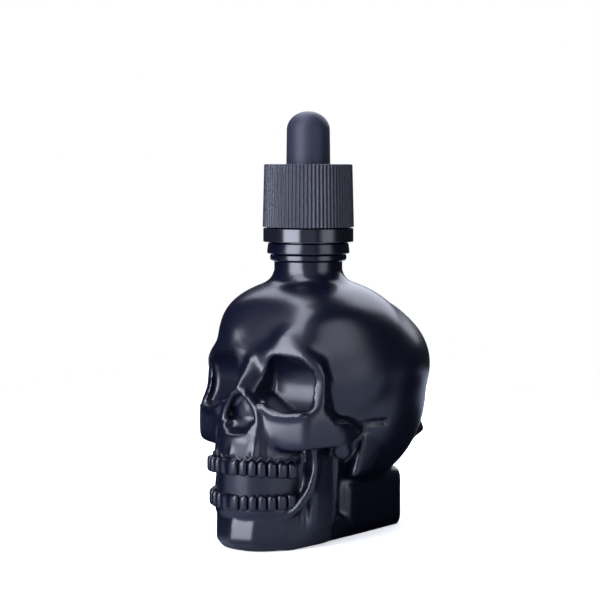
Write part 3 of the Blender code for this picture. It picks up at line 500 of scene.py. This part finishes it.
def fused(pieces, name, voxel, wear_rounds):
    """Half forms mirrored, fused into one skin and worn smooth."""
    whole = joined(pieces, name)
    applied(whole, "MIRROR", use_bisect_axis=(True, False, False), merge_threshold=WELD)
    applied(whole, "REMESH", mode="VOXEL", voxel_size=voxel)
    return applied(whole, "SMOOTH", factor=0.5, iterations=wear_rounds)


def combined(piece, other, operation):
    applied(piece, "BOOLEAN", operation=operation, solver="MANIFOLD", object=other)
    bpy.data.objects.remove(other, do_unlink=True)
    return piece


mass = fused([ball(*row) for row in MASS_BALLS], "mass", MASS_VOXEL, MASS_WEAR)
shape = np.empty(len(mass.data.vertices) * 3)
mass.data.vertices.foreach_get("co", shape)
shape = shape.reshape(-1, 3)
for place, turn, rise, blend in MASS_FLATS:
    for side in (1, -1):
        x, y, z = place
        around = side * math.radians(turn)
        way = Vector((math.sin(around), -math.cos(around), math.tan(math.radians(rise)))).normalized()
        beyond = (shape - real((side * x, y, z))) @ np.array(way) / (blend * MM)
        shape -= np.outer(np.logaddexp(0, beyond) * blend * MM, way)
mass.data.vertices.foreach_set("co", shape.ravel())
soft = [mass] + [ball(*row) for row in SOFT_BALLS]
soft += [block(*row) for row in SOFT_BLOCKS] + [hull(row) for row in SOFT_HULLS] + tubes(SOFT_TUBES)
soft = fused(soft, "soft_forms", SOFT_VOXEL, SOFT_WEAR)
firm = [soft] + [ball(*row) for row in FIRM_BALLS] + [block(*row) for row in FIRM_BLOCKS]
firm += [arch_slab(*row) for row in ARCH_SLABS] + tubes(FIRM_TUBES) + [hull(row) for row in FIRM_HULLS]
skull = fused(firm, "skull_shell", FORM_VOXEL, FIRM_WEAR)
centre, half_length, radius, turn = ORBIT
bpy.ops.mesh.primitive_cylinder_add(
    vertices=128, radius=radius * MM, depth=2 * half_length * MM,
    location=real(centre), rotation=(0, math.pi / 2, math.radians(turn)),
)
drum = bpy.context.object
bpy.ops.object.transform_apply(location=True, rotation=True, scale=True)
drum = combined(drum, hull([(x, y, z) for x, z in ORBIT_OPENING for y in ORBIT_DEPTH]), "INTERSECT")
hollows = [drum] + [ball(*row) for row in HOLLOW_BALLS] + tubes(HOLLOW_TUBES)
hollows += [hull(row) for row in HOLLOW_HULLS]
combined(skull, fused(hollows, "hollows", FORM_VOXEL, HOLLOW_WEAR), "DIFFERENCE")
applied(skull, "REMESH", mode="VOXEL", voxel_size=FORM_VOXEL)
applied(skull, "SMOOTH", factor=0.5, iterations=LAST_WEAR)

# The mould's creases: height, which is negative inwards, half width and the line that each follows
STROKES = (
    (-0.7, 0.8, (20.4, -8.8, 33), (21.4, -4.0, 31.6), (23, 0, 31), (24, 3, 30.9)),  # under the temple
)
shape = np.empty(len(skull.data.vertices) * 3)
skull.data.vertices.foreach_get("co", shape)
shape = shape.reshape(-1, 3)
normals = np.empty(len(skull.data.vertices) * 3)
skull.data.vertices.foreach_get("normal", normals)
normals = normals.reshape(-1, 3)
tree = BVHTree.FromObject(skull, bpy.context.evaluated_depsgraph_get())
push = np.zeros(len(shape))
for height, spread, *points in STROKES:
    for side in (1, -1):
        spots = [tree.find_nearest(real((side * x, y, z)))[0] for x, y, z in points]
        near = np.full(len(shape), np.inf)
        for start, end in zip(spots, spots[1:]):
            start, along = np.array(start), np.array(end - start)
            share = np.clip((shape - start) @ along / (along @ along), 0, 1)
            near = np.minimum(near, np.linalg.norm(shape - start - share[:, None] * along, axis=1))
        stroke = height * MM * np.exp(-((near / (spread * MM)) ** 2))
        push = np.where(np.abs(stroke) > np.abs(push), stroke, push)
shape += normals * push[:, None]
skull.data.vertices.foreach_set("co", shape.ravel())
skull.data.update()


def turned(name, profile, sides=160):
    """A turned solid: its profile is a ring drawn out and resized from one height to the next."""
    radius, z = profile[0]
    bpy.ops.mesh.primitive_circle_add(vertices=sides, radius=radius, location=(0, 0, z))
    piece = bpy.context.object
    bpy.ops.object.transform_apply(location=True, rotation=False, scale=False)
    bpy.ops.object.mode_set(mode="EDIT")
    bpy.ops.mesh.select_all(action="SELECT")
    for wide, top in profile[1:]:
        bpy.ops.mesh.extrude_region_move(TRANSFORM_OT_translate={"value": (0, 0, top - z)})
        bpy.ops.transform.resize(value=(wide / radius, wide / radius, 1), center_override=(0, 0, top))
        radius, z = wide, top
    if profile[0] == profile[-1]:
        bpy.ops.mesh.select_all(action="SELECT")
        bpy.ops.mesh.remove_doubles(threshold=WELD)
    else:
        bpy.ops.mesh.edge_face_add()
        bpy.ops.mesh.select_all(action="DESELECT")
        bpy.ops.mesh.select_non_manifold()
        bpy.ops.mesh.edge_face_add()
    bpy.ops.mesh.select_all(action="SELECT")
    bpy.ops.mesh.normals_make_consistent(inside=False)
    bpy.ops.object.mode_set(mode="OBJECT")
    piece.name = name
    piece.data.name = name
    return piece


# Radii and heights of the neck finish, down its outer side
NECK_PROFILE = (
    (7.5, 93.8), (7.8, 93.5), (7.8, 81.8), (9.8, 80.5), (9.8, 79.4), (9.6, 79.2), (8.95, 79.1),
    (8.95, 77.3), (10.3, 77.2), (10.55, 77.05), (10.62, 76.8), (10.85, 74.9), (10.8, 74.6), (10.55, 74.4),
    (9.6, 74.3), (9.75, 74.2), (10.0, 74.0), (10.05, 73.6), (10.0, 72.9), (9.7, 72.6), (8.95, 72.3),
    (8.95, 60),
)
neck = turned("neck", [(radius * MM, real((0, 0, z)).z) for radius, z in NECK_PROFILE])
combined(skull, neck, "UNION")
room_inside = [ball(*row) for row in CAVITY_BALLS] + [block(*row) for row in CAVITY_BLOCKS]
combined(skull, fused(room_inside, "cavity", MASS_VOXEL, CAVITY_WEAR), "DIFFERENCE")
BORE_RADIUS = 5 * MM
BORE_SPAN = (0.1, 0.05)
bore = turned("bore", [(BORE_RADIUS, z) for z in BORE_SPAN], sides=64)
combined(skull, bore, "DIFFERENCE")
# Everything under the base plane is cut off, which leaves the flat that the bottle stands on
bpy.ops.mesh.primitive_cube_add(size=2, scale=(1, 1, 0.01), location=(0, 0, -0.01))
ground = bpy.context.object
bpy.ops.object.transform_apply(location=True, rotation=True, scale=True)
combined(skull, ground, "DIFFERENCE")
skull.data.shade_smooth()
bpy.ops.object.select_all(action="DESELECT")
skull.select_set(True)
bpy.context.view_layer.objects.active = skull
bpy.ops.object.shade_smooth_by_angle(angle=math.radians(40))


# Teeth: rounded blocks side by side along the dental arch, in the same casting, with the gum's
# scalloped edge over the upper ones.
TOOTH_ARCH = (14.2, 19.0, 14.7)
TOOTH_WIDTH_SHARES = (0.109, 0.098, 0.098, 0.1, 0.105, 0.12, 0.12)
TOOTH_HALF_SHARE = 0.43
TOOTH_DEPTH = 4.2
TOOTH_EDGE = 0.95
GUM_STEP = 1.75
GUM_RISE = 0.8
GUM_HALF_SHARE = 0.42
GUM_RADIUS = 0.34
ARCH_STEPS = 200


def arch_place(share, inset):
    """A place on the dental arch, from its front at 0 to its end at 1."""
    half, length, back = TOOTH_ARCH
    turn = math.pi / 2 * share
    power = 2 / ARCH_SQUARENESS
    x = (half - inset) * math.sin(turn) ** power
    return Vector((x, -back - (length - inset) * math.cos(turn) ** power, 0))


def tooth_row(bite, crown, inset, drop):
    """Half a row of teeth. The crown is the height towards the gum, and the drop is the molars'."""
    spots = [arch_place(step / ARCH_STEPS, inset) for step in range(ARCH_STEPS + 1)]
    reach = np.cumsum([0] + [(after - before).length for before, after in zip(spots, spots[1:])])
    row = []
    start = 0.0
    for share in TOOTH_WIDTH_SHARES:
        width = share * reach[-1]
        middle = start + width / 2
        start += width
        step = int(np.searchsorted(reach, middle))
        along = (spots[step] - spots[step - 1]).normalized()
        inward = Vector((-along.y, along.x, 0))
        centre = spots[step] + inward * TOOTH_DEPTH / 2
        centre.z = bite + crown / 2 - drop * (middle / reach[-1]) ** 2
        halves = real((width * TOOTH_HALF_SHARE, TOOTH_DEPTH / 2, abs(crown) / 2))
        bpy.ops.mesh.primitive_cube_add(size=2, scale=halves)
        tooth = bpy.context.object
        bpy.ops.object.transform_apply(location=False, rotation=False, scale=True)
        tooth.location = real(centre)
        tooth.rotation_euler.z = math.atan2(along.y, along.x)
        row.append(rounded(tooth, TOOTH_EDGE, segments=6))
        if crown > 0:
            gum = centre - inward * (TOOTH_DEPTH / 2 - GUM_STEP)
            gum.z += crown / 2
            bend = []
            for side, rise in ((-1, 0), (0, GUM_RISE), (1, 0)):
                spot = gum + along * side * width * GUM_HALF_SHARE
                bend.append((*spot.xy, spot.z + rise, GUM_RADIUS))
            row += tube(bend)
    return row


upper_teeth = tooth_row(bite=19.9, crown=4.0, inset=0.1, drop=2.4)
lower_teeth = tooth_row(bite=15.0, crown=-4.1, inset=0.6, drop=0)
teeth = joined(upper_teeth + lower_teeth, "skull_teeth")
applied(teeth, "MIRROR", use_bisect_axis=(True, False, False), merge_threshold=WELD)
teeth.data.shade_smooth()


# Grain: what moulding leaves on every surface of the bottle and its closure. Fine noise in its
# roughness and height, and a broad drift in its shade.
grain = bpy.data.node_groups.new("moulded_grain", "ShaderNodeTree")
for socket in ("Scale", "Roughness", "Spread", "Depth"):
    grain.interface.new_socket(socket, in_out="INPUT", socket_type="NodeSocketFloat")
for socket in ("Shade", "Roughness"):
    grain.interface.new_socket(socket, in_out="OUTPUT", socket_type="NodeSocketFloat")
grain.interface.new_socket("Normal", in_out="OUTPUT", socket_type="NodeSocketVector")
grain_in = grain.nodes.new("NodeGroupInput")
grain_out = grain.nodes.new("NodeGroupOutput")
grain_place = grain.nodes.new("ShaderNodeTexCoord")
fine = grain.nodes.new("ShaderNodeTexNoise")
fine.inputs["Detail"].default_value = 3
grain.links.new(grain_place.outputs["Object"], fine.inputs["Vector"])
grain.links.new(grain_in.outputs["Scale"], fine.inputs["Scale"])
broad = grain.nodes.new("ShaderNodeTexNoise")
broad.inputs["Scale"].default_value = 90
broad.inputs["Detail"].default_value = 2
grain.links.new(grain_place.outputs["Object"], broad.inputs["Vector"])
centred = grain.nodes.new("ShaderNodeMath")
centred.operation = "SUBTRACT"
centred.inputs[1].default_value = 0.5
grain.links.new(fine.outputs["Fac"], centred.inputs[0])
spread = grain.nodes.new("ShaderNodeMath")
spread.operation = "MULTIPLY_ADD"
grain.links.new(centred.outputs[0], spread.inputs[0])
grain.links.new(grain_in.outputs["Spread"], spread.inputs[1])
grain.links.new(grain_in.outputs["Roughness"], spread.inputs[2])
grain.links.new(spread.outputs[0], grain_out.inputs["Roughness"])
grain.links.new(broad.outputs["Fac"], grain_out.inputs["Shade"])
relief = grain.nodes.new("ShaderNodeBump")
relief.inputs["Strength"].default_value = 1
grain.links.new(grain_in.outputs["Depth"], relief.inputs["Distance"])
grain.links.new(fine.outputs["Fac"], relief.inputs["Height"])
grain.links.new(relief.outputs["Normal"], grain_out.inputs["Normal"])


def moulded(name, dark, light, scale, roughness, spread, depth, sheen=0.5):
    """A moulded material whose shade drifts between two colours, with grain of a size and depth."""
    made = bpy.data.materials.new(name)
    made.use_nodes = True
    nodes, links = made.node_tree.nodes, made.node_tree.links
    shader = nodes["Principled BSDF"]
    shader.inputs["Specular IOR Level"].default_value = sheen
    finish = nodes.new("ShaderNodeGroup")
    finish.node_tree = grain
    finish.inputs["Scale"].default_value = scale
    finish.inputs["Roughness"].default_value = roughness
    finish.inputs["Spread"].default_value = spread
    finish.inputs["Depth"].default_value = depth
    shade = nodes.new("ShaderNodeMix")
    shade.data_type = "RGBA"
    shade.inputs["A"].default_value = (*dark, 1)
    shade.inputs["B"].default_value = (*light, 1)
    links.new(finish.outputs["Shade"], shade.inputs["Factor"])
    links.new(shade.outputs["Result"], shader.inputs["Base Color"])
    links.new(finish.outputs["Roughness"], shader.inputs["Roughness"])
    links.new(finish.outputs["Normal"], shader.inputs["Normal"])
    return made


# Coat: satin black coating over the whole casting, skull and teeth alike. It is duller on the
# sculpted skull than on the smooth neck, and changes over between the two heights of NECK_ROOT.
SKULL_ROUGHNESS = 0.29
NECK_ROUGHNESS = 0.22
NECK_ROOT = (64, 72)
coat = moulded(
    "satin_coated_glass", (0.0012, 0.0016, 0.0060), (0.0018, 0.0024, 0.0085),
    scale=1500, roughness=SKULL_ROUGHNESS, spread=0.025, depth=0.002 * MM,
)
coat_nodes, coat_links = coat.node_tree.nodes, coat.node_tree.links
coat_place = coat_nodes.new("ShaderNodeTexCoord")
coat_height = coat_nodes.new("ShaderNodeSeparateXYZ")
coat_links.new(coat_place.outputs["Object"], coat_height.inputs[0])
dulling = coat_nodes.new("ShaderNodeMapRange")
dulling.inputs["From Min"].default_value, dulling.inputs["From Max"].default_value = [
    real((0, 0, z)).z for z in NECK_ROOT
]
dulling.inputs["To Min"].default_value = SKULL_ROUGHNESS
dulling.inputs["To Max"].default_value = NECK_ROUGHNESS
coat_links.new(coat_height.outputs["Z"], dulling.inputs["Value"])
coat_links.new(dulling.outputs["Result"], coat_nodes["Group"].inputs["Roughness"])
for piece in (skull, teeth):
    piece.data.materials.clear()
    piece.data.materials.append(coat)
    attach(piece, "bottle")
    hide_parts("skull_bottle")


# Break-off ring: smooth black plastic moulded with the cap. Its lip stays caught under the neck's
# bead when the cap is first turned.
low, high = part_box("tamper_band")
outer, base, top = high[0], low[2], high[2]
LIP_RADIUS = 9.25 * MM
LIP_HEIGHT = 1.4 * MM
BAND_BORE = 10.2 * MM
BAND_EDGE = 0.15 * MM
band = turned("break_off_ring", [
    (BAND_BORE, top), (outer - 2 * BAND_EDGE, top), (outer - BAND_EDGE / 2, top - BAND_EDGE / 2),
    (outer, top - BAND_EDGE), (outer, top - 2 * BAND_EDGE), (outer, base + 2 * BAND_EDGE),
    (outer, base + BAND_EDGE), (outer - BAND_EDGE / 3, base + BAND_EDGE / 3),
    (outer - BAND_EDGE, base), (LIP_RADIUS, base), (LIP_RADIUS, base + LIP_HEIGHT - BAND_EDGE),
    (LIP_RADIUS + BAND_EDGE, base + LIP_HEIGHT), (BAND_BORE, base + LIP_HEIGHT), (BAND_BORE, top),
], sides=192)
bpy.ops.object.shade_smooth_by_angle(angle=math.radians(35))
band.data.materials.append(moulded(
    "smooth_black_plastic", (0.004, 0.0044, 0.0075), (0.006, 0.0064, 0.010),
    scale=900, roughness=0.18, spread=0.05, depth=0.002 * MM, sheen=0.58,
))
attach(band, "band")
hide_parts("tamper_band")


# Screw cap: black plastic with fine vertical ribs for the fingers and a slight draft. The ribs run
# out under the rounded rim, and the top is holed for the bulb.
low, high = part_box("screw_cap")
outer, base, top = high[0], low[2], high[2]
RIBS = 72
STEPS_PER_RIB = 8
RIB_DEPTH = 0.30 * MM
CAP_DRAFT = 0.4 * MM
CAP_EDGE = 0.25 * MM
CAP_BORE = 9.1 * MM
CAP_HOLE = 6.1 * MM
CAP_TOP_WALL = 1.8 * MM
cap = turned("screw_cap_body", [
    (CAP_HOLE, top - CAP_TOP_WALL), (CAP_HOLE, top - CAP_EDGE), (CAP_HOLE + CAP_EDGE, top),
    (outer - CAP_DRAFT - 2 * CAP_EDGE, top), (outer - CAP_DRAFT - CAP_EDGE / 2, top - CAP_EDGE / 3),
    (outer - CAP_DRAFT, top - CAP_EDGE), (outer - CAP_DRAFT, top - 2 * CAP_EDGE), (outer, base),
    (CAP_BORE + CAP_EDGE, base),
    (CAP_BORE, base + 2 * CAP_EDGE), (CAP_BORE, top - CAP_TOP_WALL), (CAP_HOLE, top - CAP_TOP_WALL),
], sides=RIBS * STEPS_PER_RIB)
# How deep each step of a rib lies, from its crest to the groove and back
RIB_SHAPE = (0, 0, 0.15, 0.75, 1, 1, 0.75, 0.15)
for vert in cap.data.vertices:
    step = round(math.atan2(vert.co.y, vert.co.x) / math.tau * RIBS * STEPS_PER_RIB)
    if vert.co.xy.length > outer - CAP_DRAFT - CAP_EDGE:
        vert.co.xy *= 1 - RIB_DEPTH * RIB_SHAPE[step % STEPS_PER_RIB] / vert.co.xy.length
bpy.ops.object.shade_smooth_by_angle(angle=math.radians(50))
cap.data.materials.append(moulded(
    "grained_black_plastic", (0.0075, 0.0085, 0.0150), (0.0105, 0.012, 0.020),
    scale=3000, roughness=0.40, spread=0.3, depth=0.14 * MM, sheen=0.4,
))
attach(cap, "cap")
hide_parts("screw_cap")


# Rubber bulb: a hollow teat with a rounded end. Its flange seals under the cap and its collar
# grips the glass tube.
low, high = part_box("rubber_bulb")
flange, base, top = high[0], low[2], high[2]
BULB_RADIUS = 5.8 * MM
BULB_DRAFT = 0.15 * MM
BULB_DOME = 4.9 * MM
BULB_WALL = 1.5 * MM
FLANGE_HEIGHT = 1.6 * MM
GRIP_RADIUS = 3.8 * MM
GRIP_HEIGHT = 5.0 * MM
DOME_STEPS = 14
DOME_POLE = 0.02 * MM


def dome(radius, height, bottom):
    """Points of a rounded end from its full radius up to just short of its top."""
    turns = [math.pi / 2 * step / DOME_STEPS for step in range(DOME_STEPS)]
    return [(radius * math.cos(turn), bottom + height * math.sin(turn)) for turn in turns]


shoulder = top - BULB_DOME
hollow = BULB_RADIUS - BULB_WALL
outside = [(GRIP_RADIUS, base + GRIP_HEIGHT), (GRIP_RADIUS, base), (flange - BAND_EDGE, base),
           (flange, base + BAND_EDGE), (flange, base + FLANGE_HEIGHT), (BULB_RADIUS, base + FLANGE_HEIGHT)]
outside += dome(BULB_RADIUS - BULB_DRAFT, BULB_DOME, shoulder) + [(DOME_POLE, top)]
inside = [(DOME_POLE, top - BULB_WALL)]
inside += dome(hollow - BULB_DRAFT, BULB_DOME - BULB_WALL, shoulder)[::-1]
inside += [(hollow, base + GRIP_HEIGHT + BULB_WALL), (GRIP_RADIUS, base + GRIP_HEIGHT)]
bulb = turned("rubber_teat", outside + inside, sides=128)
bpy.ops.object.shade_smooth_by_angle(angle=math.radians(35))
bulb.data.materials.append(moulded(
    "satin_black_rubber", (0.010, 0.012, 0.022), (0.013, 0.0155, 0.027),
    scale=1800, roughness=0.52, spread=0.1, depth=0.01 * MM, sheen=0.26,
))
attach(bulb, "dropper")
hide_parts("rubber_bulb")


# Glass pipette: a clear tube held by the bulb's collar and drawn down over a flame to a fine tip.
low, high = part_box("glass_pipette")
outer, base, top = high[0], low[2], high[2]
PIPETTE_BORE = 2.5 * MM
TIP_RADIUS = 1.3 * MM
TIP_BORE = 0.6 * MM
TAPER = 12 * MM
TAPER_STEPS = 16


def drawn_tip(wide, narrow):
    """Points of the tube's side from the tip up to its full radius."""
    side = []
    for step in range(TAPER_STEPS + 1):
        share = step / TAPER_STEPS
        side.append((narrow + (wide - narrow) * math.sin(math.pi / 2 * share), base + TAPER * share))
    return side


outside = drawn_tip(outer, TIP_RADIUS) + [(outer, top - CAP_EDGE), (outer - CAP_EDGE, top)]
inside = [(PIPETTE_BORE, top)] + drawn_tip(PIPETTE_BORE, TIP_BORE)[::-1]
pipette = turned("glass_tube", outside + inside + outside[:1], sides=96)
bpy.ops.object.shade_smooth_by_angle(angle=math.radians(35))
clear = bpy.data.materials.new("clear_drawn_glass")
clear.use_nodes = True
clear_nodes, clear_links = clear.node_tree.nodes, clear.node_tree.links
shader = clear_nodes["Principled BSDF"]
shader.inputs["Transmission Weight"].default_value = 1
shader.inputs["IOR"].default_value = 1.47
finish = clear_nodes.new("ShaderNodeGroup")
finish.node_tree = grain
finish.inputs["Scale"].default_value = 260
finish.inputs["Roughness"].default_value = 0.02
finish.inputs["Spread"].default_value = 0.02
finish.inputs["Depth"].default_value = 0.004 * MM
tint = clear_nodes.new("ShaderNodeMix")
tint.data_type = "RGBA"
tint.inputs["A"].default_value = (0.93, 0.96, 0.95, 1)
tint.inputs["B"].default_value = (0.97, 0.985, 0.98, 1)
clear_links.new(finish.outputs["Shade"], tint.inputs["Factor"])
clear_links.new(tint.outputs["Result"], shader.inputs["Base Color"])
clear_links.new(finish.outputs["Roughness"], shader.inputs["Roughness"])
clear_links.new(finish.outputs["Normal"], shader.inputs["Normal"])
pipette.data.materials.append(clear)
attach(pipette, "dropper")
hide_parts("glass_pipette")
